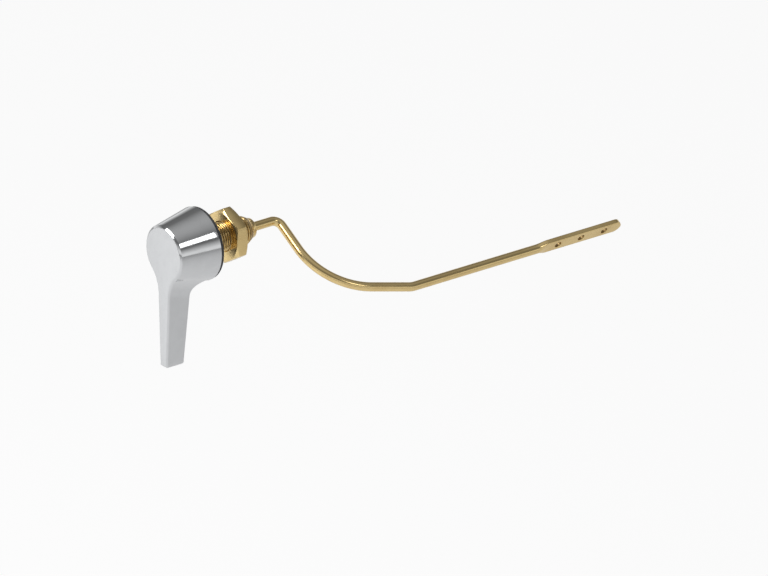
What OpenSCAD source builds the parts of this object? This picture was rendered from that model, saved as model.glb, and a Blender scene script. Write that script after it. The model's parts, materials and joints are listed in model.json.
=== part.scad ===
// Side-mounted cistern lever: handle, bushing with nut, and bent lift arm.
// +X runs along the spindle into the cistern and +Z is up. The origin lies on the spindle's axis,
// in the plane of the wall's outer face, where the gasket seats.

/* [Handle] */
// Distance from the spindle's axis down to the lever's tip
lever_length = 65.5; // [55:0.5:80]
// Radius of the barrel at its front face
face_r = 15.6; // [14.5:0.1:17]
// Radius of the barrel at its rim, next to the wall
rim_r = 20.4; // [20:0.1:24]
// Depth of the barrel from face to rim
barrel_depth = 24; // [23:0.5:28]
// Wall of the barrel
barrel_wall = 2; // [1.6:0.1:2.4]
// Thickness of the front face
face_wall = 2.4; // [1.8:0.1:3]
// Chamfer round the front face
face_chamfer = 1; // [0.6:0.1:1.4]
// Width of the lever where it leaves the barrel
neck_width = 9.6; // [8:0.1:12]
// Width of the lever at its tip
tip_width = 6.1; // [5:0.1:7.5]
// Depth of the lever, front to back, where it leaves the barrel
neck_depth = 14.5; // [13:0.1:15.5]
// Depth of the lever at its tip
tip_depth = 11.8; // [9:0.1:12.8]
// Radius of the fillets between barrel and lever on the front outline
neck_fillet = 18; // [12:0.5:22]
// Radius of the fillet between the barrel's rim and the lever's back edge
heel_fillet = 7.4; // [5:0.1:7.4]
// Radius of the corner at the back of the lever's tip
tip_corner = 1.8; // [1:0.1:3]
// Chamfer along the back edges of the lever
back_chamfer = 0.7; // [0.4:0.1:1]
// Radius of the hub inside the barrel
hub_r = 8; // [7.4:0.1:8.8]
// Thickness of the ribs between hub and barrel
rib_width = 1.6; // [1.2:0.1:2]

/* [Bushing, gasket and nut] */
// Radius of the threaded shank that passes through the wall
shank_r = 8; // [7.5:0.1:9]
// Length of threaded shank behind the nut
shank_tail = 6.4; // [4:0.2:10]
// Length of the bushing's conical nose
nose_length = 3.2; // [2.5:0.1:4.5]
// Radius of the nose's end
nose_end_r = 6.2; // [5.9:0.1:7]
// Thickness of the bushing's flange
flange_thick = 2.5; // [2:0.1:3]
// Thickness of the gasket
gasket_thick = 1.5; // [1.2:0.1:2.5]
// How far the gasket's edge stays inside the barrel's rim
gasket_inset = 0.4; // [0.2:0.1:1.5]
// Gap between gasket and nut, which takes the wall
wall_gap = 13.6; // [8:0.2:20]
// Width across the nut's flats
nut_flats = 27.2; // [24:0.2:30]
// Thickness of the nut
nut_thick = 7.2; // [6:0.1:9]
// Turn of the nut about the spindle, from corner down
nut_turn = -2; // [-30:1:30]
// Thickness of the washer between flange and hub
washer_thick = 1; // [0.8:0.1:1.5]

/* [Spindle] */
// Radius of the spindle
spindle_r = 4.8; // [4.4:0.1:5.2]
// Distance across the flats of the spindle's front end
spindle_flats = 7.6; // [7:0.1:8.2]
// Radius of the spindle's conical head, next to the bushing's nose
head_r = 5.9; // [5.6:0.1:6.4]
// Radius of the head at its end
head_end_r = 5.3; // [4.4:0.1:5.5]
// Length of the head
head_length = 2.4; // [2:0.1:5]
// Depth of the socket for the arm
socket_depth = 18; // [12:0.5:24]

/* [Arm] */
// Diameter of the rod
rod_d = 5; // [4:0.1:5.4]
// Distance from the spindle's head to the first bend's corner
crank_reach = 17.9; // [10:0.1:26]
// Bend radius of the first bend, to the middle of the rod
crank_bend = 4.5; // [4:0.1:6]
// Sideways offset of the lift end from the spindle's axis
arm_offset = 63.9; // [58:0.1:75]
// Distance along the spindle from the first bend to the last
elbow_reach = 48; // [44:0.5:60]
// Angle between the middle stretch of the rod and the spindle
splay_angle = 18; // [14:1:22]
// Radius of the long sweep, to the middle of the rod
sweep_r = 37.3; // [28:0.1:40]
// Bend radius of the last bend
elbow_bend = 12; // [8:0.5:20]
// Length from the last bend to the arm's tip
lift_length = 139; // [110:1:200]
// Angle of the arm below level at rest
droop_angle = 31; // [15:1:40]
// Length of the flattened end
flat_length = 55.9; // [50:0.1:75]
// Thickness of the flattened end
flat_thick = 2.8; // [2:0.1:3.2]
// Height of the flattened end
flat_height = 8; // [7:0.1:9]
// Length over which the rod is pressed into the flat
press_length = 7; // [5:0.5:8]
// Diameter of the holes
hole_d = 4; // [3:0.1:4.6]
// Spacing of the holes
hole_pitch = 15.4; // [10:0.1:16]
// Distance from the tip to the first hole
tip_to_hole = 10.9; // [7:0.1:13]

/* [Motion and fits] */
// Travel of the lever from its rest
lever_travel = 50; // [35:1:55]
// Gap between pieces that turn against each other
turning_gap = 0.3; // [0.2:0.05:0.5]
// Radial clearance of the spindle in the bushing
running_clear = 0.08; // [0.03:0.01:0.1]
// Clearance of pieces that seat in each other
seat_clear = 0.05; // [0.02:0.01:0.08]

/* [Hidden] */
$fn = 96;

// Overlap that lets one piece's own shapes fuse
fuse = 0.5;
// Reach of a cutting shape past what it cuts
past = 5;

// Space between the spindle's front end and the front face
spindle_setback = 2;
// Angle of the first rib, and from each rib to the next
rib_turn = 45;
rib_pitch = 90;
// How far the ribs end before the hub
rib_setback = 1.5;

// Places along the spindle's axis
flange_x = -gasket_thick - flange_thick;
rim_x = -gasket_thick - turning_gap;
face_x = rim_x - barrel_depth;
hub_x = flange_x - washer_thick - turning_gap;
nut_x = wall_gap;
shank_x = nut_x + nut_thick + shank_tail;
bushing_x = shank_x + nose_length;
head_x = bushing_x + turning_gap;
spindle_x = head_x + head_length;
spindle_front_x = face_x + face_wall + spindle_setback;
socket_x = spindle_x - socket_depth;
crank_x = spindle_x + crank_reach;
elbow_x = crank_x + elbow_reach;
arm_x = elbow_x + lift_length;

// Depths from the front face, as the handle's own shapes are measured
rim_r_slope = (rim_r - face_r) / barrel_depth;
function barrel_r(depth) = face_r + rim_r_slope * depth;
hub_depth = hub_x - face_x;
heel_depth = neck_depth + heel_fillet;
heel_sink = 0.4;
heel_z = barrel_r(heel_depth) - heel_sink;
// The neck's fillets bite a little into the barrel, so that the two surfaces cross
fillet_bite = 0.15;
fillet_y = neck_width / 2 + neck_fillet;
fillet_z = sqrt(pow(face_r + neck_fillet - fillet_bite, 2) - pow(fillet_y, 2));
lever_lean = atan((neck_width - tip_width) / 2 / (lever_length - fillet_z));

rod_r = rod_d / 2;
// The rod is a hair thinner in its bends, and its straight stretches lap into them
bend_thinning = 0.04;
lap = 0.25;
// The rod's bends in the arm's own plane: distance along the spindle, then sideways offset
corner_offset = arm_offset - elbow_reach * tan(splay_angle);
sweep_turn = 90 - splay_angle;
sweep_tangent = sweep_r * tan(sweep_turn / 2);
elbow_tangent = elbow_bend * tan(splay_angle / 2);
middle_length = elbow_reach / cos(splay_angle) - sweep_tangent - elbow_tangent;
flat_x = arm_x - flat_length;

// Turns a profile of [radius, x] points about the spindle's axis
module turned(profile) {
    rotate([0, 90, 0]) rotate_extrude() polygon(profile);
}

// Extrudes an outline drawn in Y and Z along +X
module along_x(x, length) {
    translate([x, 0, 0]) rotate([90, 0, 90]) linear_extrude(length) children();
}

// Extrudes an outline drawn in X and Z to both sides of Y = 0
module across_y(width) {
    rotate([90, 0, 0]) linear_extrude(width, center = true) children();
}

// Barrel without its hollow, front face at x = 0
module barrel_outside() {
    turned([[0, 0], [face_r - face_chamfer, 0], [barrel_r(face_chamfer), face_chamfer],
        [rim_r, barrel_depth], [0, barrel_depth]]);
}

// Hollow of the barrel, open at the rim; grow > 0 reaches into the wall
module barrel_hollow(grow) {
    turned([[0, face_wall], [barrel_r(face_wall) - barrel_wall + grow, face_wall],
        [rim_r - barrel_wall + grow, barrel_depth], [rim_r - barrel_wall + grow, barrel_depth + past],
        [0, barrel_depth + past]]);
}

// Side view of the lever with the web under the barrel
module lever_side() {
    difference() {
        polygon([[0, 0], [heel_depth, 0], [heel_depth, -heel_z], [neck_depth, -heel_z - heel_fillet],
            [tip_depth, -lever_length + tip_corner], [tip_depth - tip_corner, -lever_length],
            [0, -lever_length]]);
        translate([heel_depth, -heel_z - heel_fillet]) circle(heel_fillet);
    }
    translate([tip_depth - tip_corner, -lever_length + tip_corner]) circle(tip_corner);
}

// Front view of the lever before its fillets are cut
module lever_front() {
    shoulder_y = fillet_y * face_r / (face_r + neck_fillet);
    shoulder_z = fillet_z * face_r / (face_r + neck_fillet);
    polygon([[0, 0], [shoulder_y, -shoulder_z], [neck_width / 2, -fillet_z], [tip_width / 2, -lever_length],
        [-tip_width / 2, -lever_length], [-neck_width / 2, -fillet_z], [-shoulder_y, -shoulder_z]]);
}

// Cutter for one neck fillet, with the face's chamfer round its mouth
module neck_cutter() {
    translate([0, fillet_y, -fillet_z])
        turned([[0, -past], [neck_fillet + face_chamfer + past, -past], [neck_fillet, face_chamfer],
            [neck_fillet, barrel_depth], [0, barrel_depth]]);
}

// Cutter for the front chamfer along one straight side of the lever
module side_cutter() {
    run = (lever_length - fillet_z) / cos(lever_lean);
    translate([0, tip_width / 2, -lever_length]) rotate([-lever_lean, 0, 0])
        translate([0, 0, -past]) linear_extrude(run + past)
            polygon([[-past, -face_chamfer - past], [face_chamfer + past, past], [-past, past]]);
}

// Cutter for the chamfer along one back edge of the lever
module back_cutter() {
    run = lever_length - fillet_z;
    fall = atan((neck_depth - tip_depth) / run);
    translate([tip_depth, tip_width / 2, -lever_length]) rotate([-lever_lean, fall, 0])
        translate([0, 0, -past]) linear_extrude(run + past)
            polygon([[past, -back_chamfer - past], [past, past], [-back_chamfer - past, past]]);
}

module lever() {
    difference() {
        intersection() {
            across_y(2 * fillet_y) lever_side();
            along_x(0, barrel_depth) lever_front();
        }
        for (side = [0, 1]) mirror([0, side, 0]) {
            neck_cutter();
            side_cutter();
            back_cutter();
        }
        translate([0, 0, -lever_length]) rotate([0, 45, 0])
            cube([face_chamfer * sqrt(2), 2 * tip_width, face_chamfer * sqrt(2)], center = true);
    }
}

module ribs() {
    for (turn = [rib_turn : rib_pitch : rib_turn + 270]) rotate([turn, 0, 0])
        translate([face_wall - fuse, 0, -rib_width / 2])
            cube([hub_depth - rib_setback - face_wall + fuse, rim_r, rib_width]);
}

module spindle_end(clear) {
    intersection() {
        rotate([0, 90, 0]) cylinder(h = hub_depth + past, r = spindle_r + clear);
        translate([0, -rim_r, -spindle_flats / 2 - clear])
            cube([hub_depth + past, 2 * rim_r, spindle_flats + 2 * clear]);
    }
}

module handle() color("gainsboro") translate([face_x, 0, 0])
    difference() {
        union() {
            difference() {
                union() {
                    barrel_outside();
                    lever();
                }
                barrel_hollow(0);
            }
            intersection() {
                barrel_hollow(fuse);
                ribs();
            }
            translate([face_wall - fuse, 0, 0]) rotate([0, 90, 0])
                cylinder(h = hub_depth - face_wall + fuse, r = hub_r);
        }
        translate([spindle_front_x - face_x - seat_clear, 0, 0]) spindle_end(seat_clear);
    }

module spindle() color("goldenrod") {
    shoulder_x = hub_x + turning_gap;
    difference() {
        union() {
            turned([[0, shoulder_x], [spindle_r, shoulder_x], [spindle_r, head_x], [head_r, head_x],
                [head_end_r, spindle_x], [0, spindle_x]]);
            intersection() {
                translate([spindle_front_x, 0, 0]) spindle_end(0);
                translate([spindle_front_x, -rim_r, -rim_r])
                    cube([shoulder_x - spindle_front_x, 2 * rim_r, 2 * rim_r]);
            }
        }
        translate([socket_x, 0, 0]) rotate([0, 90, 0])
            cylinder(h = socket_depth + past, r = rod_r + seat_clear);
    }
}

// One bend of the rod, from the current end, turning towards +Y for turn > 0
module bend(radius, turn) {
    side = sign(turn);
    translate([0, side * radius, 0]) rotate([0, 0, side > 0 ? -90 : 90 + turn])
        rotate_extrude(angle = abs(turn)) translate([radius, 0]) circle(rod_r - bend_thinning);
}

// One straight stretch of the rod, which laps into the bends before and behind it
module rod(length, lap_before = 0, lap_behind = 0) {
    translate([-lap_before, 0, 0]) rotate([0, 90, 0])
        cylinder(h = length + lap_before + lap_behind, r = rod_r);
}

// Flattened end in the arm's own plane, from the start of the pressed part
module flat_end() {
    half = flat_height / 2;
    start_inset = 0.1;
    start_half = sqrt(pow(rod_r, 2) - pow(flat_thick / 2, 2)) - start_inset;
    difference() {
        rotate([90, 0, 0]) linear_extrude(flat_thick, center = true) {
            polygon([[0, -start_half], [press_length, -half], [flat_length - half, -half],
                [flat_length - half, half], [press_length, half], [0, start_half]]);
            translate([flat_length - half, 0]) circle(half);
        }
        for (i = [0 : 2]) translate([flat_length - tip_to_hole - i * hole_pitch, 0, 0])
            rotate([90, 0, 0]) cylinder(h = flat_thick + past, d = hole_d, center = true);
    }
    intersection() {
        rod(press_length);
        linear_extrude(rod_d + past, center = true)
            polygon([[0, -rod_r - seat_clear], [press_length, -flat_thick / 2],
                [press_length, flat_thick / 2], [0, rod_r + seat_clear]]);
    }
}

// The arm is one bent rod. It is drawn with +Y as its sideways offset, then turned to its place at rest
module at_rest() rotate([180 + droop_angle, 0, 0]) children();

// The round part of the arm, up to where its end is pressed flat
module arm() color("khaki") at_rest() {
    rod_x = socket_x + seat_clear;
    translate([rod_x, 0, 0]) rod(crank_x - crank_bend - rod_x, 0, lap);
    translate([crank_x - crank_bend, 0, 0]) bend(crank_bend, 90);
    translate([crank_x, crank_bend, 0]) rotate([0, 0, 90])
        rod(corner_offset - sweep_tangent - crank_bend, lap, lap);
    translate([crank_x, corner_offset - sweep_tangent, 0]) rotate([0, 0, 90]) bend(sweep_r, -sweep_turn);
    translate([crank_x, corner_offset, 0]) rotate([0, 0, splay_angle]) translate([sweep_tangent, 0, 0])
        rod(middle_length, lap, lap);
    translate([elbow_x, arm_offset, 0]) rotate([0, 0, splay_angle]) translate([-elbow_tangent, 0, 0])
        bend(elbow_bend, -splay_angle);
    translate([elbow_x + elbow_tangent, arm_offset, 0]) rod(flat_x - elbow_x - elbow_tangent, lap, 0);
}

// The rest of the arm: its flattened end
module arm_end() color("khaki") at_rest() translate([flat_x, arm_offset, 0]) flat_end();

module friction_washer() color("ivory") {
    bore_r = spindle_r + turning_gap;
    translate([flange_x - washer_thick, 0, 0]) rotate([0, 90, 0]) difference() {
        cylinder(h = washer_thick, r = hub_r);
        translate([0, 0, -past]) cylinder(h = washer_thick + 2 * past, r = bore_r);
    }
}

// Lug on the flange that stands between two of the handle's ribs
module stop_lug(inner_r, outer_r) {
    side = rib_width / 2 + turning_gap;
    intersection() {
        difference() {
            circle(outer_r);
            circle(inner_r);
        }
        rotate(rib_turn) translate([0, side]) square(outer_r + past);
        rotate(rib_turn + rib_pitch - lever_travel) translate([0, -side - outer_r - past])
            square(outer_r + past);
    }
}

module bushing() color("goldenrod") {
    flange_edge = 0.5;
    flange_inset = 1;
    lug_length = 4.5;
    lug_width = 4;
    // The handle turns round the flange and the lug, and its hollow narrows towards the face
    flange_r = barrel_r(flange_x - face_x) - barrel_wall - flange_inset;
    lug_r = barrel_r(flange_x - lug_length - face_x) - barrel_wall - 2 * turning_gap;
    difference() {
        union() {
            turned([[0, flange_x], [flange_r - flange_edge, flange_x], [flange_r, flange_x + flange_edge],
                [flange_r, -gasket_thick], [shank_r, -gasket_thick], [shank_r, shank_x],
                [nose_end_r, bushing_x], [0, bushing_x]]);
            along_x(flange_x - lug_length, lug_length + fuse) stop_lug(lug_r - lug_width, lug_r);
        }
        translate([flange_x - past, 0, 0]) rotate([0, 90, 0])
            cylinder(h = bushing_x - flange_x + 2 * past, r = spindle_r + running_clear);
    }
}

module gasket() color("dimgray") translate([-gasket_thick, 0, 0]) rotate([0, 90, 0])
    difference() {
        cylinder(h = gasket_thick, r = rim_r - gasket_inset);
        translate([0, 0, -past]) cylinder(h = gasket_thick + 2 * past, r = shank_r + seat_clear);
    }

// The chamfer's turned outline starts at the middle of a flat, clear of the corners
module nut() color("goldenrod") translate([nut_x, 0, 0]) rotate([nut_turn, 0, 0]) {
    sides = 6;
    corner_r = nut_flats / sqrt(3);
    land_inset = 0.3;
    land_r = nut_flats / 2 - land_inset;
    chamfer_angle = 30;
    outer_r = corner_r + fuse;
    chamfer = (outer_r - land_r) * tan(chamfer_angle);
    difference() {
        intersection() {
            rotate([0, 90, 0]) cylinder(h = nut_thick, r = corner_r, $fn = sides);
            rotate([180 / sides, 0, 0])
                turned([[0, 0], [land_r, 0], [outer_r, chamfer], [outer_r, nut_thick - chamfer],
                    [land_r, nut_thick], [0, nut_thick]]);
        }
        translate([-past, 0, 0]) rotate([0, 90, 0])
            cylinder(h = nut_thick + 2 * past, r = shank_r + seat_clear);
    }
}

handle();
spindle();
arm();
arm_end();
friction_washer();
bushing();
gasket();
nut();
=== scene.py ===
"""Builds the looks of a side-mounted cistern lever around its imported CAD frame."""

import json
from math import asin, atan, atan2, copysign, cos, pi, radians, sin, sqrt, tan, tau

import bmesh
import bpy
from bpy.props import FloatProperty, FloatVectorProperty, IntProperty, PointerProperty
from bpy.types import Operator, Panel, PropertyGroup
from mathutils import Matrix, Vector


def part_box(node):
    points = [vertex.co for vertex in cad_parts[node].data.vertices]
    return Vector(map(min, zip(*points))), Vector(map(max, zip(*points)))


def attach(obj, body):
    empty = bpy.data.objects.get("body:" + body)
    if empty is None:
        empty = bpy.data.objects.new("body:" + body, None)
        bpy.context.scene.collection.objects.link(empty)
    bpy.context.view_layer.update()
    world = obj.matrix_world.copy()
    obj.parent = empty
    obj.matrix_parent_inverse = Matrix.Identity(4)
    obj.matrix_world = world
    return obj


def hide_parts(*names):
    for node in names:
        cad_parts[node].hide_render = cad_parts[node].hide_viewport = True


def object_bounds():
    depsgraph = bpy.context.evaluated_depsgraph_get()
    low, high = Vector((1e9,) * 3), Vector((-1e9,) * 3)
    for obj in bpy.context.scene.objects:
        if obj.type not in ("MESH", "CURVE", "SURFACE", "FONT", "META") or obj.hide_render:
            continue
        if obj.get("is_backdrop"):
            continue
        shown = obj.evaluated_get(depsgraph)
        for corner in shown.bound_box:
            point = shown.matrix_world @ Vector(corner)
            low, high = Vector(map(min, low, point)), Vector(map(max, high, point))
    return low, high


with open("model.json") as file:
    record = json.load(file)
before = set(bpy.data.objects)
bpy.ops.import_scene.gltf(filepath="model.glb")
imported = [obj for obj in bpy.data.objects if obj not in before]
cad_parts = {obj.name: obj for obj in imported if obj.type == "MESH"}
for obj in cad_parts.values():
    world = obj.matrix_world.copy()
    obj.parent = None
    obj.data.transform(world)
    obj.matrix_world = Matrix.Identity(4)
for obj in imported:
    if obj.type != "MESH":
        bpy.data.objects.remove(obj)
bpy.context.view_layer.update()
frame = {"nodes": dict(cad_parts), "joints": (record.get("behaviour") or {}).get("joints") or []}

bl_info = {
    "name": "Cistern Lever",
    "version": (1, 0, 0),
    "blender": (4, 5, 0),
    "location": "View3D > Sidebar > Cistern Lever",
    "description": "Builds a cistern lever with its bushing, nut, gasket and lift arm",
    "category": "Add Mesh",
}

MM = 0.001
LEVER = "lever"
WALL_FITTING = "wall_fitting"
ROD_MAP = "rod_map"
# Vertex mask of the thread's roots and the holes, which are darkened as partly tarnish and partly
# painted shade
RECESS_TARNISH_AND_SHADE = "recess"
# Space between pieces that are seated on each other, and the length below which two points are one
SEAT_CLEAR = 0.05 * MM
SAME_PLACE = 0.0001 * MM
# The handle's ribs, between two of which the bushing's stop lug travels
RIBS = 4
FIRST_RIB = radians(45)
RIB_PITCH = tau / RIBS


# Sizes and colours that a user would change


def length(name, description, default_mm, **limits):
    """A length property, given in millimetres and held in metres."""
    return FloatProperty(
        name=name, description=description, default=default_mm * MM, unit="LENGTH", precision=4, **limits
    )


def angle(name, description, default_degrees):
    """An angle property, given in degrees and held in radians."""
    return FloatProperty(
        name=name, description=description, default=radians(default_degrees), subtype="ANGLE"
    )


def colour(name, description, default):
    """A colour property."""
    return FloatVectorProperty(
        name=name, description=description, default=default, size=3, min=0, max=1, subtype="COLOR"
    )


class HandleSizes(PropertyGroup):
    """Sizes of the handle casting."""

    face_r: length("Face radius", "Radius of the barrel at its front face", 15.6)
    tip_width: length("Tip width", "Width of the lever at its tip", 6.1)
    neck_width: length("Neck width", "Width of the lever where it leaves the barrel", 9.6)
    neck_height: length("Neck height", "Drop from the axis to where the neck's width is taken", 24.5)
    neck_fillet: length("Neck fillet", "Radius that blends the lever's sides into the barrel", 18)
    neck_depth: length("Neck depth", "Depth of the lever under the barrel", 14.5)
    tip_depth: length("Tip depth", "Depth of the lever at its tip", 11.8)
    heel_fillet: length("Heel fillet", "Radius between the lever's back and the barrel", 7.14)
    tip_corner: length("Tip corner", "Radius at the back of the lever's tip", 1.8)
    chamfer: length("Face chamfer", "Chamfer round the front face", 1)
    edge_round: length("Edge rounding", "Rounding of the lever's back edges", 0.7)
    wall: length("Barrel wall", "Wall of the barrel", 2)
    face_wall: length("Face wall", "Thickness of the front face", 2.4)
    hub_r: length("Hub radius", "Radius of the hub inside the barrel", 8)
    hub_end: length("Hub end", "Depth of the hub's end from the front face", 20.5)
    rib_end: length("Rib end", "Depth of the ribs' ends from the front face", 19)
    rib_width: length("Rib width", "Thickness of the ribs", 1.6)
    bore_r: length("Bore radius", "Radius of the hub's bore", 4.85)
    bore_flats: length("Bore flats", "Distance across the flats of the hub's bore", 7.7)
    bore_floor: length("Bore floor", "Depth of the bore's closed end from the front face", 4.35)


class ArmSizes(PropertyGroup):
    """Sizes of the bent lift arm."""

    rod_r: length("Rod radius", "Radius of the rod", 2.5)
    start: length("Start", "Place of the rod's hidden end along the spindle", 15.15)
    crank: length("Crank", "Place of the first bend's corner along the spindle", 51)
    crank_bend: length("Crank bend", "Radius of the first bend", 4.5)
    offset: length("Offset", "Sideways offset of the lift end", 63.9)
    elbow: length("Elbow", "Place of the last bend's corner along the spindle", 99)
    sweep_r: length("Sweep radius", "Radius of the long sweep", 37.3)
    elbow_bend: length("Elbow bend", "Radius of the last bend", 12)
    flat_start: length("Flat start", "Place where the flattened end starts", 182.1)
    tip: length("Tip", "Place of the arm's tip along the spindle", 238)
    flat_thick: length("Flat thickness", "Thickness of the flattened end", 2.8)
    flat_height: length("Flat height", "Height of the flattened end", 8)
    flat_round: length("Flat rounding", "Rounding of the flattened end's edges", 0.55)
    press: length("Press length", "Length over which the rod is pressed flat", 7)
    hole_r: length("Hole radius", "Radius of the holes", 2)
    hole_pitch: length("Hole pitch", "Spacing of the holes", 15.4)
    tip_to_hole: length("Tip to hole", "Distance from the tip to the first hole", 10.9)
    holes: IntProperty(name="Holes", description="Holes in the flattened end", default=3, min=1)
    splay: angle("Splay", "Angle of the middle stretch to the spindle", 18)
    droop: angle("Droop", "Angle of the arm below level at rest", 31)


class FittingSizes(PropertyGroup):
    """Sizes of the bushing, nut, gasket and spindle."""

    shank_r: length("Shank radius", "Radius over the threads of the shank", 8)
    shank_end: length("Shank end", "End of the threaded shank behind the wall", 27.2)
    nose_r: length("Nose radius", "Radius of the nose's end", 6.2)
    flange_thick: length("Flange thickness", "Thickness of the flange inside the barrel", 2.5)
    bore_r: length("Bore radius", "Radius of the bushing's bore", 4.88)
    lug_inner: length("Lug inner radius", "Inner radius of the stop lug", 12.46)
    lug_outer: length("Lug outer radius", "Outer radius of the stop lug", 16.46)
    turning_gap: length("Turning gap", "Gap between pieces that turn against each other", 0.3)
    pitch: length("Thread pitch", "Pitch of the shank's thread", 1.5)
    thread_depth: length("Thread depth", "Depth of the shank's thread", 0.55)
    flats: length("Nut flats", "Width across the nut's flats", 27.2)
    land_r: length("Nut land", "Radius of the nut's flat ends", 13.3)
    nut_turn: angle("Nut turn", "Turn of the nut from corner down", -2)
    spindle_r: length("Spindle radius", "Radius of the spindle", 4.8)
    spindle_flats: length("Spindle flats", "Distance across the spindle's flats", 7.6)
    shoulder: length("Shoulder", "Place where the spindle's flats end", -5)
    head_start: length("Head start", "Place where the spindle's head starts", 30.7)
    head_r: length("Head radius", "Radius of the head next to the nose", 5.9)
    head_end_r: length("Head end radius", "Radius of the head at its end", 5.3)
    socket: length("Socket", "Place of the floor of the arm's socket", 15.1)


class FinishColours(PropertyGroup):
    """Colours of the finishes."""

    chrome: colour("Chrome", "Plated handle", (0.68, 0.69, 0.70))
    brass: colour("Brass", "Turned brass", (0.85, 0.65, 0.31))
    brass_dull: colour("Dull brass", "Handled and older patches of the brass", (0.67, 0.47, 0.20))
    # The recess colour is partly tarnish and partly painted shade in the thread's roots and the holes
    recess: colour("Recess", "Tarnish in the thread's roots and in the holes", (0.13, 0.075, 0.03))
    rubber: colour("Rubber", "Gasket", (0.045, 0.045, 0.048))
    nylon: colour("Nylon", "Friction washer", (0.80, 0.78, 0.72))


class StageSettings(PropertyGroup):
    """Camera, light and floor."""

    azimuth: angle("Azimuth", "Direction the camera looks from", -37.5)
    elevation: angle("Elevation", "Height of the camera's direction", 23.3)
    distance: FloatProperty(name="Distance", description="Camera to object", default=2.0, unit="LENGTH")
    frame_width: length("Frame width", "Width of the picture at the object", 408.6)
    target: FloatVectorProperty(
        name="Target", description="Point at the middle of the picture",
        default=(0.0712, -0.0667, -0.0222), size=3, subtype="TRANSLATION",
    )
    floor_gap: length("Floor gap", "Space between the object and the floor", 220)
    floor_glow: FloatProperty(
        name="Floor glow", description="Share of the floor that shows as pure white",
        default=0.9, min=0, max=1,
    )
    floor: colour("Floor", "Colour of the floor", (0.93, 0.93, 0.935))
    key: FloatProperty(name="Key light", description="Power of the main lamp in watts", default=16)
    fill: FloatProperty(name="Fill light", description="Power of the second lamp in watts", default=1.6)
    world: FloatProperty(name="World", description="Strength of the surrounding light", default=0.8)


# Points and mesh helpers


def shares(count):
    """Even shares of a way, the last of which is 1."""
    return [(k + 1) / count for k in range(count)]


def clamp(value, low, high):
    """The value, held between two limits."""
    return max(low, min(high, value))


def chord(r, away):
    """Half the width of a circle at that distance from its middle."""
    return sqrt(r**2 - min(away, r) ** 2)


def ray(angle):
    """The unit vector at that angle."""
    return Vector((cos(angle), sin(angle)))


def around_x(x, r, angle):
    """The point at that place along the X axis, that far from it and turned that much from +Y."""
    return Vector((x, r * cos(angle), r * sin(angle)))


def other_side(points):
    """The points on the other side of the middle plane, last one first."""
    return [Vector((p.x, -p.y, p.z)) for p in reversed(points)]


def pairs(verts, closed=True):
    """Each vertex of a ring or row with its next one."""
    return list(zip(verts, verts[1:] + verts[:1] if closed else verts[1:]))


def edges_of(bm, verts, closed=True):
    """The edges of a ring or row of vertices, in order."""
    return [bm.edges.get(pair) for pair in pairs(verts, closed)]


def new_ring(bm, points, closed=True):
    """New vertices at the points, joined in order to a ring, or to a row."""
    verts = [bm.verts.new(p) for p in points]
    for pair in pairs(verts, closed):
        bm.edges.new(pair)
    return verts


def grow(bm, verts, points, closed=True):
    """Extrudes a ring or row of vertices and sets the new one at the points."""
    made = bmesh.ops.extrude_edge_only(bm, edges=edges_of(bm, verts, closed))["geom"]
    fresh = {v for v in made if isinstance(v, bmesh.types.BMVert)}
    grown = []
    for vert, point in zip(verts, points):
        follower = next(e.other_vert(vert) for e in vert.link_edges if e.other_vert(vert) in fresh)
        follower.co = point
        grown.append(follower)
    return grown


def loft(bm, rows, closed=True):
    """Skin through rows of points, each extruded from the one before."""
    verts = new_ring(bm, rows[0], closed)
    made = [verts]
    for points in rows[1:]:
        verts = grow(bm, verts, points, closed)
        made.append(verts)
    return made


def soften(corners, steps=4):
    """Points of a closed outline of (x, r, rounding) corners, each rounded by its own radius."""
    points = []
    for i, (x, r, rounding) in enumerate(corners):
        here = Vector((x, r))
        if rounding == 0:
            points.append(here)
            continue
        before = (Vector(corners[i - 1][:2]) - here).normalized()
        after = (Vector(corners[(i + 1) % len(corners)][:2]) - here).normalized()
        half = before.angle(after) / 2
        centre = here + (before + after).normalized() * rounding / sin(half)
        start = here + before * rounding / tan(half) - centre
        end = here + after * rounding / tan(half) - centre
        points += [centre + rounding * start.slerp(end, k / steps) for k in range(steps + 1)]
    return points


def turned(bm, outline, closed=True, steps=96):
    """Spins an outline of (x, r) points once round the X axis, and closes its poles."""
    verts = new_ring(bm, [(x, 0, r) for x, r in outline], closed)
    bmesh.ops.spin(
        bm, geom=verts + edges_of(bm, verts, closed), cent=(0, 0, 0), axis=(1, 0, 0), angle=tau,
        steps=steps, use_merge=True,
    )
    bmesh.ops.remove_doubles(bm, verts=bm.verts, dist=SAME_PLACE)


def add_object(name, data):
    """An object of the scene that holds the data."""
    made = bpy.data.objects.new(name, data)
    bpy.context.scene.collection.objects.link(made)
    return made


def add_mesh(name, bm):
    """An object of the scene with the finished mesh."""
    mesh = bpy.data.meshes.new(name)
    bm.to_mesh(mesh)
    bm.free()
    return add_object(name, mesh)


def finish_piece(name, bm, body, nodes, finish, crease=35):
    """Makes the mesh a piece that rides on a body and stands for CAD nodes."""
    bmesh.ops.remove_doubles(bm, verts=bm.verts, dist=SAME_PLACE)
    bmesh.ops.recalc_face_normals(bm, faces=bm.faces)
    piece = add_mesh(name, bm)
    piece.data.shade_smooth()
    piece.data.set_sharp_from_angle(angle=radians(crease))
    piece.data.materials.append(finish)
    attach(piece, body)
    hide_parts(*nodes)


# Finishes


class Wire:
    """A socket that takes part in Python sums, each of which adds a Math node."""

    def __init__(self, paint, socket):
        self.paint = paint
        self.socket = socket

    def maths(self, operation, first, second):
        return self.paint.node("Math", {"operation": operation}, {0: first, 1: second})

    def __add__(self, other):
        return self.maths("ADD", self, other)

    def __sub__(self, other):
        return self.maths("SUBTRACT", self, other)

    def __rsub__(self, other):
        return self.maths("SUBTRACT", other, self)

    def __mul__(self, other):
        return self.maths("MULTIPLY", self, other)

    __radd__ = __add__
    __rmul__ = __mul__


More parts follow.
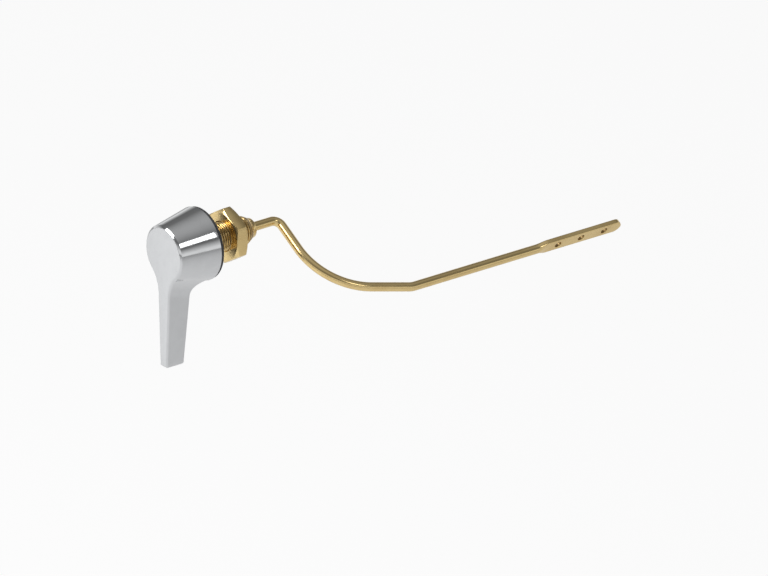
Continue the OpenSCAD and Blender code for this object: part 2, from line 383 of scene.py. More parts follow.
class Paint:
    """A material under construction, or a world."""

    # A Mix node has its colours at these sockets
    COLOUR_A, COLOUR_B, COLOUR_OUT = 6, 7, 2

    def __init__(self, name, store="materials", shader="Principled BSDF"):
        self.holder = getattr(bpy.data, store).new(name)
        self.holder.use_nodes = True
        self.nodes = self.holder.node_tree.nodes
        self.links = self.holder.node_tree.links
        self.shader = self.nodes[shader]

    def node(self, kind, settings=None, sockets=None, output=0):
        """A node of that kind: its settings first, then the values or wires of its sockets."""
        made = self.nodes.new("ShaderNode" + kind)
        for key, value in (settings or {}).items():
            if key == "stops":
                self.set_stops(made.color_ramp.elements, value)
            else:
                setattr(made, key, value)
        for key, value in (sockets or {}).items():
            self.plug(made.inputs[key], value)
        return Wire(self, made.outputs[output])

    def set_stops(self, elements, stops):
        """Gives a ramp its grey stops, each a place and a level, in rising order."""
        elements.remove(elements[1])
        elements[0].position = stops[0][0]
        for place, _ in stops[1:]:
            elements.new(place)
        for element, (_, level) in zip(elements, stops):
            element.color = (level, level, level, 1)

    def plug(self, socket, value):
        """Links a wire to a socket, or sets its value."""
        if isinstance(value, Wire):
            self.links.new(value.socket, socket)
        else:
            socket.default_value = value

    def look(self, **inputs):
        """Sets the shader's sockets by name, with _ for a space."""
        for name, value in inputs.items():
            self.plug(self.shader.inputs[name.replace("_", " ")], value)
        return self.holder

    def place(self):
        """Object coordinates, in metres."""
        return self.node("TexCoord", output="Object")

    def stretched(self, vector, by):
        return self.node("VectorMath", {"operation": "MULTIPLY"}, {0: vector, 1: by})

    def noise(self, vector, scale, detail=2.0, roughness=0.5):
        return self.node(
            "TexNoise", None,
            {"Vector": vector, "Scale": scale, "Detail": detail, "Roughness": roughness},
        )

    def ramp(self, value, low, high):
        """0 below low, 1 above high, straight between."""
        return self.node("MapRange", None, {"Value": value, "From Min": low, "From Max": high})

    def mix(self, share, first, second):
        """Colour between two colours."""
        return self.node(
            "Mix", {"data_type": "RGBA"},
            {0: share, self.COLOUR_A: tinted(first), self.COLOUR_B: tinted(second)}, self.COLOUR_OUT,
        )

    def bump(self, height, distance):
        return self.node("Bump", None, {"Distance": distance, "Height": height})


def tinted(value):
    """A colour with its alpha, or the wire itself."""
    return value if isinstance(value, Wire) else (*value[:3], 1.0)


def shade(value, factor):
    """The colour made darker or lighter by a factor."""
    return tuple(min(1.0, c * factor) for c in value)


def chrome_finish(colours):
    """Plated casting: bright, with a faint waviness and a dry film of water marks."""
    paint = Paint("chrome_plate")
    place = paint.place()
    film = paint.ramp(paint.noise(place, scale=170, detail=4, roughness=0.6), low=0.42, high=0.72)
    specks = paint.ramp(paint.noise(place, scale=1900), low=0.62, high=0.75)
    wave = paint.noise(place, scale=120, detail=1)
    wiped = paint.node(
        "Mapping", None, {"Vector": place, "Rotation": (0.5, 0.35, 0.2), "Scale": (1, 0.05, 1)}
    )
    hairs = paint.ramp(paint.noise(wiped, scale=2600), low=0.60, high=0.68)
    polished, filmed = 0.07, shade(colours.chrome, 0.96)
    return paint.look(
        Base_Color=paint.mix(film, colours.chrome, filmed),
        Metallic=1.0,
        Roughness=polished + film * 0.05 + specks * 0.04 + hairs * 0.07,
        Normal=paint.bump(wave, distance=0.04 * MM),
    )


def brass_finish(name, colours, rings=True):
    """Turned or drawn brass: fine tool lines, with duller patches where it has been handled."""
    paint = Paint(name)
    place = paint.place()
    if rings:
        across = paint.stretched(place, (0, 1, 1))
        reach = paint.node("VectorMath", {"operation": "LENGTH"}, {0: across}, output="Value")
        along = paint.node("SeparateXYZ", None, {0: place})
        run = paint.node("CombineXYZ", None, {"X": along + reach, "Y": along - reach})
        lines = paint.noise(run, scale=5200, detail=3, roughness=0.65)
    else:
        rod = paint.node("Attribute", {"attribute_name": ROD_MAP}, output="Vector")
        lines = paint.noise(paint.stretched(rod, (0.03, 1, 1)), scale=2600, detail=3, roughness=0.6)
    patches = paint.ramp(paint.noise(place, scale=95, detail=5, roughness=0.62), low=0.45, high=0.75)
    fine = paint.ramp(lines, low=0.35, high=0.65)
    # The recess mask darkens the thread's roots and the holes: partly tarnish, partly painted shade
    recess = paint.node("Attribute", {"attribute_name": RECESS_TARNISH_AND_SHADE}, output="Fac")
    handled = paint.mix(patches * 0.5 + fine * 0.08, colours.brass, colours.brass_dull)
    clean = 0.17
    return paint.look(
        Base_Color=paint.mix(recess * 0.8, handled, colours.recess),
        Metallic=1.0,
        Roughness=clean + patches * 0.10 + fine * 0.06 + recess * 0.25,
        Normal=paint.bump(lines, distance=0.0015 * MM),
    )


def rubber_finish(colours):
    """Moulded rubber: dark and matt, with a little pale bloom."""
    paint = Paint("gasket_rubber")
    place = paint.place()
    bloom = paint.ramp(paint.noise(place, scale=260, detail=4, roughness=0.6), low=0.45, high=0.75)
    grain = paint.noise(place, scale=4200)
    clean, bloomed = 0.62, shade(colours.rubber, 1.7)
    return paint.look(
        Base_Color=paint.mix(bloom, colours.rubber, bloomed),
        Roughness=clean + bloom * 0.16,
        Normal=paint.bump(grain, distance=0.04 * MM),
    )


def nylon_finish(colours):
    """Plain off-white nylon."""
    paint = Paint("washer_nylon")
    place = paint.place()
    cloud = paint.noise(place, scale=400, detail=3)
    grain = paint.noise(place, scale=2500)
    clean, clouded = 0.42, shade(colours.nylon, 0.94)
    return paint.look(
        Base_Color=paint.mix(cloud, colours.nylon, clouded),
        Roughness=clean + cloud * 0.12,
        Normal=paint.bump(grain, distance=0.02 * MM),
    )


# Handle


class LeverOutline:
    """The keyhole outline of the handle at any depth, and the line of the lever's back."""

    # Steps of each stretch of the half outline, and of the search for the back's corners
    AROUND, NECK, SIDE, CORNER, FOOT = 40, 18, 24, 4, 4
    HALF = AROUND + NECK + SIDE + CORNER + FOOT
    HALVINGS = 40
    # The rounding at the foot, the least it keeps, and the drop over which that of the back grows
    FOOT_ROUND, LEAST_ROUND = 1.1 * MM, 0.05 * MM
    ROUND_GROWTH = 4 * MM
    # How far under the neck's width its depth is taken, and where the barrel's curve ends in the back
    BACK_DROP = 2.5 * MM
    FADE_END, FADE = 40 * MM, 13 * MM

    def __init__(self, sizes, rim_r, barrel_depth, lever_length):
        self.s = sizes
        self.slope = (rim_r - sizes.face_r) / barrel_depth
        self.length = lever_length
        self.lean = atan(
            (sizes.neck_width - sizes.tip_width) / 2 / (lever_length - sizes.neck_height)
        )
        self.normal = Vector((cos(self.lean), -sin(self.lean)))
        self.reach = self.normal.dot((sizes.tip_width / 2, -lever_length))
        self.foot = sizes.tip_corner - lever_length
        head = -sizes.neck_height - self.BACK_DROP
        self.taper = (sizes.neck_depth - sizes.tip_depth) / (head - self.foot)
        # The heel's arc touches the lever's straight back and the barrel's underside
        level = sizes.tip_depth - self.taper * (sizes.face_r + sizes.heel_fillet + self.foot)
        self.heel_x = (level + sizes.heel_fillet) / (1 + self.taper * self.slope)
        self.heel_z = -self.barrel_r(self.heel_x) - sizes.heel_fillet

    def barrel_r(self, depth):
        return self.s.face_r + self.slope * depth

    def back_line(self, z):
        """Depth of the lever's straight back at a height."""
        return self.s.tip_depth + self.taper * (z - self.foot)

    def back(self, z):
        """Depth of the lever's back at a height, and its outward normal in X and Z."""
        if z > self.heel_z:
            run = chord(self.s.heel_fillet, z - self.heel_z)
            return self.heel_x - run, Vector((run, self.heel_z - z)).normalized()
        if z < self.foot:
            run = chord(self.s.tip_corner, self.foot - z)
            return self.s.tip_depth - self.s.tip_corner + run, Vector((run, z - self.foot)).normalized()
        return self.back_line(z), Vector((1, 0))

    def sag(self, y):
        """How far the barrel's underside rises at a sideways offset."""
        r = self.barrel_r(self.heel_x)
        return r - chord(r, abs(y))

    def fade(self, z):
        """1 under the barrel and 0 down the lever, where its back runs straight across."""
        return clamp((z + self.FADE_END) / self.FADE, 0, 1)

    def at(self, step, depth, inset):
        """Point of the half outline (Y, Z) and its outward normal, counted from the top to the foot."""
        r = self.barrel_r(depth) - inset
        fillet = self.s.neck_fillet + inset
        across = self.reach - inset + fillet
        centre = across * self.normal - chord(r + fillet, across) * self.normal.orthogonal()
        turn = atan2(centre.y, centre.x)
        if step <= self.AROUND:
            out = ray(pi / 2 + (turn - pi / 2) * step / self.AROUND)
            return r * out, out
        step -= self.AROUND
        if step <= self.NECK:
            toward = ray(turn + pi - (turn + self.lean) * step / self.NECK)
            return centre + fillet * toward, -toward
        step -= self.NECK
        soft = max(self.FOOT_ROUND, inset + self.LEAST_ROUND)
        pivot_z = -self.length + soft
        pivot = Vector(((self.reach - soft - self.normal.y * pivot_z) / self.normal.x, pivot_z))
        if step <= self.SIDE:
            start = centre - fillet * self.normal
            end = pivot + (soft - inset) * self.normal
            return start.lerp(end, step / self.SIDE), self.normal
        step -= self.SIDE
        if step <= self.CORNER:
            out = ray(-self.lean + (self.lean - pi / 2) * step / self.CORNER)
            return pivot + (soft - inset) * out, out
        step -= self.CORNER
        return Vector((pivot.x * (1 - step / self.FOOT), -self.length + inset)), Vector((0, -1))

    def back_corner(self, step):
        """Where the outline's side meets the lever's back: the point, both normals and the rounding."""
        if step <= self.AROUND:
            point, out = self.at(step, self.heel_x, 0)
            return Vector((self.heel_x, *point)), Vector((0, *out)), Vector((1, 0, 0)), 0
        low, high = 0, self.heel_x
        for _ in range(self.HALVINGS):
            depth = (low + high) / 2
            point, out = self.at(step, depth, 0)
            height = point.y - self.sag(point.x) * self.fade(point.y)
            if depth < self.back(height)[0]:
                low = depth
            else:
                high = depth
        depth, behind = self.back(height)
        top = -self.barrel_r(self.heel_x)
        grown = max(0, top - height) / self.ROUND_GROWTH
        room = min(1, grown, max(0, height + self.length) / self.s.tip_corner)
        return (
            Vector((depth, *point)), Vector((0, *out)), Vector((behind.x, 0, behind.y)),
            self.s.edge_round * room,
        )


def handle_skin(bm, outline, s):
    """Front face, sides, lever's back and the barrel up to the heel. Returns the row at the heel."""
    steps = range(outline.HALF + 1)
    side_rows, arc_rows = 12, 4
    # The chamfer's softened edge: inset past the chamfer and depth, in shares of its rounding
    soft_edge = ((1, 0), (1 / 2, 1 / 20), (1 / 12, 1 / 5), (-1 / 3, 5 / 12), (-0.72, 0.72))
    soft = 0.25 * s.chamfer
    front = [(s.chamfer + soft * inset, soft * depth) for inset, depth in soft_edge]
    front += [(depth, inset) for inset, depth in reversed(front)]
    rows = []
    for inset, depth in front:
        rows.append([Vector((depth, *outline.at(k, depth, inset)[0])) for k in steps])
    corners = [outline.back_corner(k) for k in steps]
    start = front[-1][1]
    for share in shares(side_rows):
        row = []
        for k, (corner, _, behind, rounding) in zip(steps, corners):
            end = corner - rounding * behind
            depth = start + (end.x - start) * share
            point = outline.at(k, depth, 0)[0]
            row.append(Vector((depth, *point)) if share < 1 else end)
        rows.append(row)
    for turn in [ray(pi / 2 * share) for share in shares(arc_rows)]:
        rows.append([
            corner - rounding * (out + behind) + rounding * (out * turn.x + behind * turn.y)
            for corner, out, behind, rounding in corners
        ])
    made = loft(bm, [row + other_side(row[1:-1]) for row in rows])
    bm.faces.new(made[0])
    columns = 2 * outline.FOOT
    strip = []
    for k in range(outline.HALF - outline.FOOT, outline.AROUND - 1, -1):
        edge = rows[-1][k]
        fade = outline.fade(edge.z)
        strip.append([
            Vector((edge.x, y, edge.z - (outline.sag(edge.y) - outline.sag(y)) * fade))
            for y in [edge.y * (1 - 2 * j / columns) for j in range(columns + 1)]
        ])
    foot = rows[-1][outline.HALF - outline.FOOT:]
    strip[0] = foot + other_side(foot[:-1])
    loft(bm, strip, closed=False)
    around = rows[-1][: outline.AROUND + 1]
    return around + strip[-1][1:-1] + other_side(around[1:])


def rib_ring(depth, r, half_width, count):
    """Ring with a pair of points at the sides of each rib and even points between."""
    points = []
    steps = count // RIBS - 1
    edge = asin(half_width / r)
    sweep = RIB_PITCH - 2 * edge
    for middle in [FIRST_RIB - RIB_PITCH * rib for rib in range(RIBS)]:
        angles = [middle + edge] + [middle - edge - sweep * j / steps for j in range(steps)]
        points += [around_x(depth, r, angle) for angle in angles]
    return points


def handle_inside(bm, outline, s, heel_row, barrel_depth):
    """Rim, hollow, ribs, hub and flatted bore of the handle."""
    count = len(heel_row)
    soft, rim_rows = 0.35 * MM, 3
    rib_lead = 2 * MM
    angles = [atan2(p.z, p.y) for p in heel_row]

    def ring(depth, r):
        return [around_x(depth, r, angle) for angle in angles]

    rim_r = outline.barrel_r(barrel_depth)
    mouth = [ring(barrel_depth - soft, outline.barrel_r(barrel_depth - soft))]
    for turn in [pi / 2 * share for share in shares(rim_rows)]:
        mouth.append(ring(barrel_depth - soft * (1 - sin(turn)), rim_r - soft * (1 - cos(turn))))
    mouth += [ring(barrel_depth, rim_r - s.wall + soft), ring(barrel_depth - soft, rim_r - s.wall)]
    made = loft(bm, [heel_row] + mouth)

    half = s.rib_width / 2
    walls = [
        rib_ring(depth, outline.barrel_r(depth) - s.wall, half, count)
        for depth in (s.rib_end + rib_lead, s.rib_end, s.face_wall)
    ]
    hubs = [rib_ring(depth, s.hub_r, half, count) for depth in (s.face_wall, s.rib_end, s.hub_end)]
    # The rings of the hollow are turned until their points face those of the rim
    start = min(range(count), key=lambda k: (walls[0][k].yz - made[-1][0].co.yz).length)
    hollow = [points[start:] + points[:start] for points in walls + hubs]
    bore = [p.yz.normalized() * s.bore_r for p in hollow[-1]]
    flat = s.bore_flats / 2
    for depth in (s.hub_end, s.bore_floor):
        hollow.append([Vector((depth, y, clamp(z, -flat, flat))) for y, z in bore])
    rings = [made[-1]]
    for points in hollow:
        rings.append(grow(bm, rings[-1], points))
    bm.faces.new(rings[-1])

    wall_top, wall_floor, hub_floor, hub_top = rings[2:6]
    for k in [k for k in range(count) if (k + start) % (count // RIBS) == 0]:
        after = (k + 1) % count
        bays = [
            bm.faces.get((lower[k], lower[after], upper[after], upper[k]))
            for lower, upper in ((wall_top, wall_floor), (wall_floor, hub_floor), (hub_floor, hub_top))
        ]
        bmesh.ops.delete(bm, geom=bays, context="FACES")
        bm.faces.new((wall_top[k], wall_top[after], hub_top[after], hub_top[k]))
        for side in (k, after):
            bm.faces.new((wall_top[side], wall_floor[side], hub_floor[side], hub_top[side]))


class CISTERN_OT_handle(Operator):
    """Casts the handle: a conical barrel blended into a deep tapering lever"""

    bl_idname = "cistern_lever.handle"
    bl_label = "Handle"

    def execute(self, context):
        s = context.scene.handle_sizes
        low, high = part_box("handle")
        depth = high.x - low.x
        outline = LeverOutline(s, high.z, depth, -low.z)
        bm = bmesh.new()
        heel_row = handle_skin(bm, outline, s)
        handle_inside(bm, outline, s, heel_row, depth)
        bmesh.ops.translate(bm, verts=bm.verts, vec=(low.x, 0, 0))
        finish_piece(
            "handle_casting", bm, LEVER, ["handle"], chrome_finish(context.scene.finish_colours)
        )
        return {"FINISHED"}


# Arm


def flat_section(thick, height, soft):
    """A rounded rectangle as (Y, Z) points, all the way round from the top of its +Y side."""
    corner_steps, most_rounding = 4, 0.98
    y, z = thick / 2, height / 2
    soft = min(soft, y * most_rounding, z * most_rounding)
    # The way along each short side and each long side, its length and its steps
    sides = ((Vector((-1, 0)), 2 * (y - soft), 6), (Vector((0, -1)), 2 * (z - soft), 12))
    points = []
    for turn, (cy, cz) in enumerate(((1, 1), (-1, 1), (-1, -1), (1, -1))):
        centre = Vector((cy * (y - soft), cz * (z - soft)))
        for j in range(corner_steps + 1):
            points.append(centre + soft * ray(pi / 2 * (turn + j / corner_steps)))
        way, run, steps = sides[turn % 2]
        ahead = way if turn < 2 else -way
        points += [points[-1] + ahead * run * j / steps for j in range(1, steps)]
    return points


class CISTERN_OT_arm(Operator):
    """Bends the rod of the lift arm and presses its end flat, with its row of holes"""

    bl_idname = "cistern_lever.arm"
    bl_label = "Lift arm"

    def execute(self, context):
        s = context.scene.arm_sizes
        section = flat_section(s.flat_thick, s.flat_height, s.flat_round)
        rays = [Vector((p.x / s.flat_thick, p.y / s.flat_height)).normalized() for p in section]
        bm = bmesh.new()
        rod_map = bm.verts.layers.float_vector.new(ROD_MAP)
        recess = bm.verts.layers.float.new(RECESS_TARNISH_AND_SHADE)

        corner = s.offset - (s.elbow - s.crank) * tan(s.splay)
        sweep = pi / 2 - s.splay
        reach = s.sweep_r * tan(sweep / 2)
        elbow_reach = s.elbow_bend * tan(s.splay / 2)
        middle = (s.elbow - s.crank) / cos(s.splay) - reach - elbow_reach

        # The rod's line: where it is, which way it points, and how far along it that is
        place, heading, run = Vector((s.start, 0)), 0.0, 0.0
        soft = 0.4 * MM
        stretch = 12 * MM

        verts = None

        def advance(r=s.rod_r):
            """The rod's next ring, each vertex marked with its place on the straightened rod."""
            nonlocal verts
            side = ray(heading).orthogonal()
            points = [Vector((*(place + side * out.x * r), out.y * r)) for out in rays]
            verts = grow(bm, verts, points) if verts else new_ring(bm, points)
            for vert, out in zip(verts, rays):
                vert[rod_map] = Vector((run, out.x * s.rod_r, out.y * s.rod_r))

        advance(s.rod_r - soft)
        bm.faces.new(verts)
        place.x += soft
        advance()
        # Each leg's straight length, then the radius, turn and steps of the bend at its end
        legs = [
            (s.crank - s.crank_bend - s.start - soft, s.crank_bend, pi / 2, 12),
            (corner - reach - s.crank_bend, s.sweep_r, -sweep, 28),
            (middle, s.elbow_bend, -s.splay, 8),
            (s.flat_start - s.elbow - elbow_reach, 0, 0, 0),
        ]
        for straight, radius, turn, steps in legs:
            pieces = max(1, round(straight / stretch))
            for _ in range(pieces):
                place += ray(heading) * straight / pieces
                run += straight / pieces
                advance()
            for _ in range(steps):
                side = copysign(1, turn)
                hub = place + ray(heading).orthogonal() * radius * side
                heading += turn / steps
                place = hub - ray(heading).orthogonal() * radius * side
                run += radius * abs(turn) / steps
                advance()
        holes = [s.tip - s.tip_to_hole - k * s.hole_pitch for k in range(s.holes)]
        self.press_flat(bm, verts, s, section, rays, rod_map, run, holes)
        for x in holes:
            self.pierce(bm, s, x, recess)
        bmesh.ops.rotate(
            bm, verts=bm.verts, cent=(0, 0, 0), matrix=Matrix.Rotation(pi + s.droop, 3, "X")
        )
        finish_piece(
            "lift_arm", bm, LEVER, ["arm", "arm_end"],
            brass_finish("drawn_brass", context.scene.finish_colours, rings=False),
        )
        return {"FINISHED"}

    # Half the rows at a hole, and the length of each
    CELLS, CELL = 5, 0.5 * MM

    def press_flat(self, bm, verts, s, section, rays, rod_map, run, holes):
        """The flattened end: its pressed start, its flat with rows for the holes, and its round tip."""
        press_rows, tip_rows, last_tip_row = 10, 8, 0.97
        tip_r = s.flat_height / 2

        def lay(x, points):
            laid = grow(bm, verts, [Vector((x, s.offset + p.x, p.y)) for p in points])
            for vert in laid:
                vert[rod_map] = Vector((run + x - s.flat_start, vert.co.y - s.offset, vert.co.z))
            return laid

        places = [s.flat_start + s.press * share for share in shares(press_rows)]
        places += [x + self.CELL * j for x in holes for j in range(-self.CELLS, self.CELLS + 1)]
        places.append(s.tip - tip_r)
        for x in sorted(places):
            share = min(1, (x - s.flat_start) / s.press)
            share = share * share * (3 - 2 * share)
            verts = lay(x, [(out * s.rod_r).lerp(p, share) for out, p in zip(rays, section)])
        for share in shares(tip_rows):
            angle = pi / 2 * min(share, last_tip_row)
            tip = flat_section(s.flat_thick, s.flat_height * cos(angle), s.flat_round)
            verts = lay(s.tip - tip_r + tip_r * sin(angle), tip)
        bm.faces.new(verts)

    def pierce(self, bm, s, x, recess):
        """One hole through the flat, with its edges broken on both sides."""
        soft, soft_rows = 0.25 * MM, 3
        level = 0.001 * MM
        patch_height = 2.3 * MM
        patch_reach = 1.1 * self.CELLS * self.CELL
        walls = []
        for side in (1, -1):
            face_y = s.offset + side * s.flat_thick / 2

            def near(point):
                return abs(point.y - face_y) < level and abs(point.x - x) < patch_reach

            patch = [
                face for face in bm.faces
                if near(face.calc_center_median()) and abs(face.calc_center_median().z) < patch_height
            ]
            bmesh.ops.delete(bm, geom=patch, context="FACES")
            rim = [vert for vert in bm.verts if vert.is_boundary and near(vert.co)]
            rim.sort(key=lambda vert: atan2(vert.co.z, vert.co.x - x))
            turns = [atan2(vert.co.z, vert.co.x - x) for vert in rim]
            edge = [
                (s.hole_r + soft * (1 - sin(a)), face_y - side * soft * (1 - cos(a)))
                for a in [pi / 2 * share for share in [0] + shares(soft_rows)]
            ]
            for r, y in edge + [(s.hole_r, face_y - side * 2 * soft)]:
                rim = grow(bm, rim, [Vector((x + r * cos(a), y, r * sin(a))) for a in turns])
            # The hole's walls are marked fully recessed, so they are darkened with tarnish and painted
            # shade
            for vert in rim:
                vert[recess] = 1
            walls += edges_of(bm, rim)
        bmesh.ops.bridge_loops(bm, edges=walls)


# Spindle, bushing, nut and gasket


class CISTERN_OT_spindle(Operator):
    """Turns the spindle: flats for the handle, a coned head, and the socket that takes the arm"""

    bl_idname = "cistern_lever.spindle"
    bl_label = "Spindle"

    def execute(self, context):
        s = context.scene.fitting_sizes
        rod_r = context.scene.arm_sizes.rod_r + SEAT_CLEAR
        low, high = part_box("spindle")
        flat = s.spindle_flats / 2
        # The flats end in a step this long
        step = 0.01 * MM
        bm = bmesh.new()
        outline = [
            (low.x, 0, 0), (low.x, s.spindle_r, 0.4 * MM), (s.shoulder, s.spindle_r, 0),
            (s.shoulder + step, s.spindle_r, 0), (s.head_start, s.spindle_r, 0),
            (s.head_start, s.head_r, 0.25 * MM), (high.x, s.head_end_r, 0.45 * MM),
            (high.x, rod_r, 0.25 * MM), (s.socket, rod_r, 0), (s.socket, 0, 0),
        ]
        turned(bm, soften(outline), closed=False)
        for vert in bm.verts:
            if vert.co.x <= s.shoulder:
                vert.co.z = clamp(vert.co.z, -flat, flat)
        finish_piece(
            "spindle_turned", bm, LEVER, ["spindle"],
            brass_finish("spindle_brass", context.scene.finish_colours),
        )
        return {"FINISHED"}


class CISTERN_OT_bushing(Operator):
    """Turns the bushing: flange with its stop lug, left-hand threaded shank and coned nose"""

    bl_idname = "cistern_lever.bushing"
    bl_label = "Bushing"

    def execute(self, context):
        s = context.scene.fitting_sizes
        low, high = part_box("bushing")
        flange_r = high.z
        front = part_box("friction_washer")[1].x
        back = front + s.flange_thick
        bm = bmesh.new()
        soft = 0.3 * MM
        # Rings in each turn of the thread, how far it runs out on the nose, and how sharp it is
        samples, run_out, sharpness = 10, 1.2 * MM, 0.75
        cut_end = s.shank_end + run_out
        count = round((cut_end - back) * samples / s.pitch)
        thread = [back + (cut_end - back) * share for share in shares(count)]
        taper = (s.shank_r - s.nose_r) / (high.x - s.shank_end)
        outline = soften([
            (front, s.bore_r, 0.2 * MM), (front, flange_r, soft),
            (back, flange_r, soft), (back, s.shank_r, 0),
        ])
        outline += [Vector((x, s.shank_r - max(0, x - s.shank_end) * taper)) for x in thread]
        outline += soften([
            (cut_end, s.shank_r, 0), (high.x, s.nose_r, 0.5 * MM), (high.x, s.bore_r, 0.3 * MM),
            (front, s.bore_r, 0),
        ])[1:-1]
        turned(bm, outline, steps=128)
        recess = bm.verts.layers.float.new(RECESS_TARNISH_AND_SHADE)
        least_r = s.nose_r + 0.2 * MM
        for vert in bm.verts:
            out = vert.co.yz.length
            if back < vert.co.x < cut_end + s.pitch and out > least_r:
                turn = atan2(vert.co.z, vert.co.y) / tau
                wave = 0.5 + sharpness * cos(tau * (vert.co.x / s.pitch + turn))
                cut = s.shank_r - s.thread_depth * (1 - clamp(wave, 0, 1))
                ease = min(1, (vert.co.x - back) / s.pitch)
                vert.co.yz = vert.co.yz * (min(out, cut * ease + s.shank_r * (1 - ease)) / out)
                # The deeper a point lies in the thread's roots, the darker it is painted: tarnish and
                # painted shade
                vert[recess] = min(1, (s.shank_r - vert.co.yz.length) / s.thread_depth) * ease
        beside_rib = context.scene.handle_sizes.rib_width / 2 + s.turning_gap
        self.add_lug(bm, s, beside_rib, low.x, front)
        finish_piece(
            "bushing_threaded", bm, WALL_FITTING, ["bushing"],
            brass_finish("bushing_brass", context.scene.finish_colours), crease=40,
        )
        return {"FINISHED"}

    def add_lug(self, bm, s, side, start, end):
        """The stop lug, sunk in the flange's front face. Its ends lie along two of the handle's ribs."""
        soft, steps = 0.3 * MM, 10
        end += 0.2 * MM
        section = soften([
            (start, s.lug_inner, soft), (start, s.lug_outer, soft),
            (end, s.lug_outer, 0), (end, s.lug_inner, 0),
        ])
        sweep = RIB_PITCH - radians(frame["joints"][0]["range_deg"][1])
        rows = []
        for k in range(steps + 1):
            row = []
            for x, r in section:
                clear = asin(side / r)
                row.append(around_x(x, r, FIRST_RIB + clear + (sweep - 2 * clear) * k / steps))
            rows.append(row)
        made = loft(bm, rows)
        bm.faces.new(made[0])
        bm.faces.new(made[-1])


class CISTERN_OT_nut(Operator):
    """Mills the hexagon nut, chamfered at both ends"""

    bl_idname = "cistern_lever.nut"
    bl_label = "Nut"

    def execute(self, context):
        s = context.scene.fitting_sizes
        low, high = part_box("nut")
        sides, columns = 6, 72
        bore = s.shank_r + SEAT_CLEAR
        lead = 0.6 * MM
        half_side = pi / sides
        chamfer = radians(30)
        bm = bmesh.new()

        def ring(x, r=None, away=0):
            """A ring of the hexagon or of that radius, and how its corners lean away from the end."""
            points = []
            for angle in [tau * k / columns for k in range(columns)]:
                side = s.flats / 2 / cos((angle + half_side) % (2 * half_side) - half_side)
                drop = (side - s.land_r) * tan(chamfer) * away
                points.append(around_x(x + drop, side if r is None else r, angle + s.nut_turn))
            return points

        rows = [
            ring(low.x + lead, bore), ring(low.x, bore + lead), ring(low.x, s.land_r),
            ring(low.x, away=1), ring(high.x, away=-1),
            ring(high.x, s.land_r), ring(high.x, bore + lead), ring(high.x - lead, bore),
        ]
        made = loft(bm, rows)
        bmesh.ops.bridge_loops(bm, edges=edges_of(bm, made[0]) + edges_of(bm, made[-1]))
        near, far = made[3:5]
        per_side = columns // sides
        corners = [bm.edges.get((near[k], far[k])) for k in range(per_side // 2, columns, per_side)]
        bmesh.ops.bevel(
            bm, geom=corners + edges_of(bm, near) + edges_of(bm, far), offset=0.12 * MM,
            offset_type="OFFSET", segments=2, profile=0.5, affect="EDGES", material=-1,
        )
        finish_piece(
            "nut_hexagon", bm, WALL_FITTING, ["nut"],
            brass_finish("nut_brass", context.scene.finish_colours), crease=24,
        )
        return {"FINISHED"}


class CISTERN_OT_gasket(Operator):
    """Makes the rubber gasket, and gives the friction washer its nylon"""

    bl_idname = "cistern_lever.gasket"
    bl_label = "Gasket and washer"

    def execute(self, context):
        low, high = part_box("gasket")
        bore = context.scene.fitting_sizes.shank_r + SEAT_CLEAR
        soft, bore_soft = 0.4 * MM, 0.2 * MM
        bm = bmesh.new()
        turned(bm, soften([
            (low.x, bore, bore_soft), (low.x, high.z, soft),
            (high.x, high.z, soft), (high.x, bore, bore_soft),
        ]))
        colours = context.scene.finish_colours
        finish_piece("gasket_ring", bm, WALL_FITTING, ["gasket"], rubber_finish(colours))
        washer = frame["nodes"]["friction_washer"]
        finish = nylon_finish(colours)
        for slot in washer.material_slots:
            slot.material = finish
        return {"FINISHED"}


# Stage


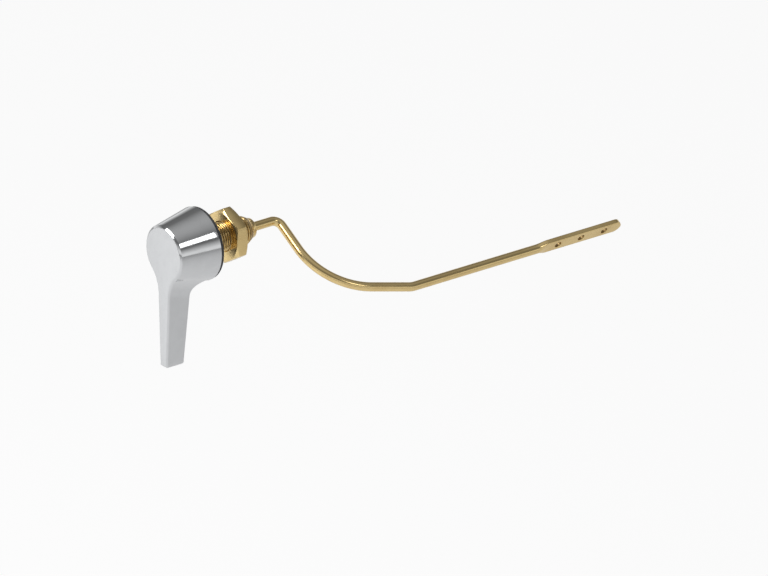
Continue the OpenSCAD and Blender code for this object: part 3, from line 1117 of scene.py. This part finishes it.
class CISTERN_OT_stage(Operator):
    """Lays the pale floor, and sets the lamps, the surrounding light and the camera"""

    bl_idname = "cistern_lever.stage"
    bl_label = "Stage"

    def execute(self, context):
        s = context.scene.stage_settings
        target = Vector(s.target)
        floor_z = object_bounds()[0][2] - s.floor_gap
        self.lay_floor(s, floor_z)
        self.set_world(context, s)
        self.hang_lamp("key_lamp", target, away=(-1.0, 0.5, 0.9), size=0.8, power=s.key)
        self.hang_lamp("fill_lamp", target, away=(0.1, -1.3, 1.1), size=0.42, power=s.fill)
        self.place_camera(context, s, target)
        return {"FINISHED"}

    def lay_floor(self, s, floor_z):
        """Pale paper that takes the shadow, of which the camera sees the most part as pure white."""
        reflected = 0.15
        bm = bmesh.new()
        bmesh.ops.create_grid(bm, x_segments=1, y_segments=1, size=12)
        bmesh.ops.translate(bm, verts=bm.verts, vec=(0, 0, floor_z))
        floor = add_mesh("floor", bm)
        paint = Paint("floor_paper")
        paint.look(Base_Color=(*s.floor, 1), Roughness=0.9)
        camera, glossy, through = [
            paint.node("LightPath", output=f"Is {kind} Ray")
            for kind in ("Camera", "Glossy", "Transmission")
        ]
        white = paint.node("Emission", None, {"Color": (1, 1, 1, 1)})
        seen = camera * s.floor_glow + (glossy + through) * reflected
        mixed = paint.node(
            "MixShader", None, {0: seen, 1: Wire(paint, paint.shader.outputs[0]), 2: white}
        )
        paint.plug(paint.nodes["Material Output"].inputs["Surface"], mixed)
        floor.data.materials.append(paint.holder)
        floor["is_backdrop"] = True

    def set_world(self, context, s):
        """A pale backdrop near the horizon, a dimmer room above it and a pale ceiling."""
        paint = Paint("studio", "worlds", "Background")
        direction = paint.node("TexCoord", output="Generated")
        height = paint.node("SeparateXYZ", None, {0: direction}, output="Z")
        # Height from the horizon to straight up, and the brightness there
        levels = [(0, 1.1), (0.10, 1.1), (0.42, 0.2), (0.70, 0.24), (1.0, 0.62)]
        bright = paint.node("ValToRGB", {"stops": levels}, {0: height})
        context.scene.world = paint.look(Color=bright, Strength=s.world)

    def hang_lamp(self, name, target, away, size, power):
        light = bpy.data.lights.new(name, "AREA")
        light.size = size
        light.energy = power
        self.aim(add_object(name, light), target, Vector(away))

    def aim(self, made, target, away, distance=1):
        """Stands a lamp or the camera off from the target, and turns it to face it."""
        made.location = target + away * distance
        made.rotation_euler = (-away).to_track_quat("-Z", "Y").to_euler()

    def place_camera(self, context, s, target):
        back = Vector((
            sin(s.azimuth) * cos(s.elevation), -cos(s.azimuth) * cos(s.elevation),
            sin(s.elevation),
        ))
        data = bpy.data.cameras.new("camera")
        data.type = "ORTHO"
        data.ortho_scale = s.frame_width
        camera = add_object("camera", data)
        self.aim(camera, target, back, s.distance)
        context.scene.camera = camera
        context.scene.view_settings.view_transform = "Standard"


# Panel and start

OPERATORS = (
    CISTERN_OT_handle, CISTERN_OT_arm, CISTERN_OT_spindle, CISTERN_OT_bushing, CISTERN_OT_nut,
    CISTERN_OT_gasket, CISTERN_OT_stage,
)
GROUPS = {
    "handle_sizes": HandleSizes, "arm_sizes": ArmSizes, "fitting_sizes": FittingSizes,
    "finish_colours": FinishColours, "stage_settings": StageSettings,
}


class CISTERN_PT_lever(Panel):
    """Lists the pieces of the cistern lever, with their sizes and colours"""

    bl_idname = "CISTERN_PT_lever"
    bl_label = "Cistern Lever"
    bl_space_type = "VIEW_3D"
    bl_region_type = "UI"
    bl_category = "Cistern Lever"

    def draw(self, context):
        for operator in OPERATORS:
            self.layout.operator(operator.bl_idname)
        for group in GROUPS:
            box = self.layout.box()
            settings = getattr(context.scene, group)
            for key in settings.bl_rna.properties.keys():
                if key not in {"name", "rna_type"}:
                    box.prop(settings, key)


def register():
    for cls in (*GROUPS.values(), *OPERATORS, CISTERN_PT_lever):
        bpy.utils.register_class(cls)
    for name, group in GROUPS.items():
        setattr(bpy.types.Scene, name, PointerProperty(type=group))


def unregister():
    for name in GROUPS:
        delattr(bpy.types.Scene, name)
    for cls in (CISTERN_PT_lever, *reversed(OPERATORS), *GROUPS.values()):
        bpy.utils.unregister_class(cls)


def main():
    """Registers the classes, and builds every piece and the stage."""
    register()
    for operator in OPERATORS:
        area, name = operator.bl_idname.split(".")
        getattr(getattr(bpy.ops, area), name)()


if __name__ == "__main__":
    main()
